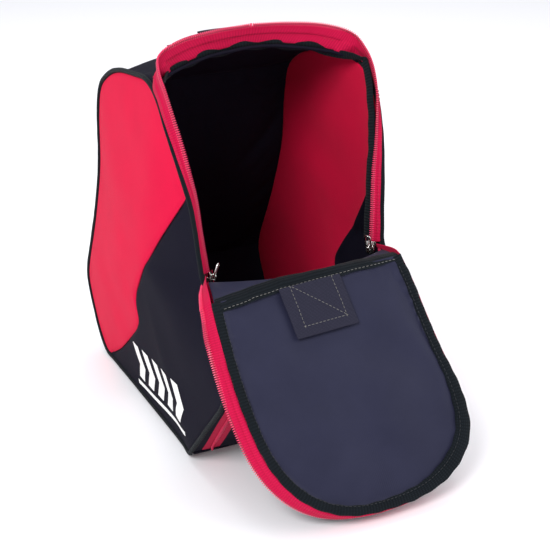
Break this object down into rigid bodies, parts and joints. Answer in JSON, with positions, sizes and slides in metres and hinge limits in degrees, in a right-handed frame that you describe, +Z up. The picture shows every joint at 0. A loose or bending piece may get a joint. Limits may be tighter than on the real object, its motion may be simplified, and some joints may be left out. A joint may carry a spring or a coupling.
{
  "type": "ski boot bag",
  "caption": "Free-standing padded bag for a pair of boots; wide U-zipped front flap folds down to the floor, carry handle on top, sloping toe end.",
  "frame": {"origin": "on the floor, on the flat underside of the base panel, on the bag's middle plane; depth zero is under the handle, near the middle of the body", "axes": "+Z up; -Y towards the open front with the folded-down flap; +X to the right seen from the front"},
  "size_m": [0.264, 0.527, 0.4225],
  "materials": {
    "red_shell": "red woven polyester shell",
    "black_shell": "black woven polyester shell",
    "piping": "black woven piping over a cord core",
    "lining": "dark navy-grey coated lining",
    "binding": "black grosgrain edge binding",
    "zip_tape": "red zip tape",
    "zip_coil": "red nylon coil",
    "webbing": "black polyester webbing",
    "print": "white screen print",
    "slider_metal": "nickel-plated zinc",
    "board": "stiff plastic board"
  },
  "bodies": {
    "root": {"back_panel": "black_shell", "base_board": "board", "base_panel": "black_shell", "front_lower_panel": "black_shell", "handle_grip": "webbing", "handle_webbing": "webbing", "heel_panel": "black_shell", "left_body_zip_coil": "zip_coil", "left_body_zip_tape": "zip_tape", "left_closed_zip_coil": "zip_coil", "left_closed_zip_inner_tape": "zip_tape", "left_closed_zip_outer_tape": "zip_tape", "left_front_gusset": "black_shell", "left_handle_patch": "webbing", "left_inner_binding": "binding", "left_side_lower": "black_shell", "left_side_piping": "piping", "left_side_print": "print", "left_side_upper": "red_shell", "right_body_zip_coil": "zip_coil", "right_body_zip_tape": "zip_tape", "right_closed_zip_coil": "zip_coil", "right_closed_zip_inner_tape": "zip_tape", "right_closed_zip_outer_tape": "zip_tape", "right_front_gusset": "black_shell", "right_handle_patch": "webbing", "right_inner_binding": "binding", "right_side_lower": "black_shell", "right_side_piping": "piping", "right_side_print": "print", "right_side_upper": "red_shell", "top_inner_binding": "binding", "top_panel": "black_shell", "top_zip_tape": "zip_tape"},
    "flap": {"flap_panel_lower": "black_shell", "flap_lining_lower": "lining", "right_flap_binding": "binding", "left_flap_binding": "binding", "right_flap_zip_tape": "zip_tape", "left_flap_zip_tape": "zip_tape", "right_flap_zip_coil": "zip_coil", "left_flap_zip_coil": "zip_coil", "fold_binding": "binding", "flap_patch": "webbing", "flap_outer_patch": "webbing"},
    "flap_tip": {"flap_panel_tip": "black_shell", "flap_lining_tip": "lining", "flap_binding_tip": "binding", "flap_zip_tape_tip": "zip_tape", "flap_zip_coil_tip": "zip_coil"},
    "right_slider": {"right_slider": "slider_metal"},
    "right_pull": {"right_pull": "slider_metal"},
    "left_slider": {"left_slider": "slider_metal"},
    "left_pull": {"left_pull": "slider_metal"}
  },
  "joints": [
    {"name": "flap_fold", "type": "hinge", "parent": "root", "child": "flap", "pos_m": [0.005, -0.193, 0.204], "axis": [-0.9995, -0.0184, -0.0244], "range_deg": [0, 158]},
    {"name": "flap_flex", "type": "hinge", "parent": "flap", "child": "flap_tip", "pos_m": [0.01281, -0.27289, 0.10397], "axis": [-0.9981, -0.0367, -0.0488], "range_deg": [0, 28.5]},
    {"name": "right_slider_run", "type": "slide", "parent": "root", "child": "right_slider", "axis": [0.0898, 0.1283, 0.9877], "range_m": [0, 0.06]},
    {"name": "right_pull_swing", "type": "hinge", "parent": "right_slider", "child": "right_pull", "pos_m": [0.08564, -0.15365, 0.20186], "axis": [0.6398, -0.7674, 0.0415], "range_deg": [-20, 130]},
    {"name": "left_slider_run", "type": "slide", "parent": "root", "child": "left_slider", "axis": [-0.0898, 0.1283, 0.9877], "range_m": [0, 0.06]},
    {"name": "left_pull_swing", "type": "hinge", "parent": "left_slider", "child": "left_pull", "pos_m": [-0.08564, -0.15365, 0.20186], "axis": [0.6398, 0.7674, -0.0415], "range_deg": [-20, 130]}
  ],
  "couplings": [
    {"joint": "flap_flex", "follows": "flap_fold", "ratio": 0.178}
  ]
}
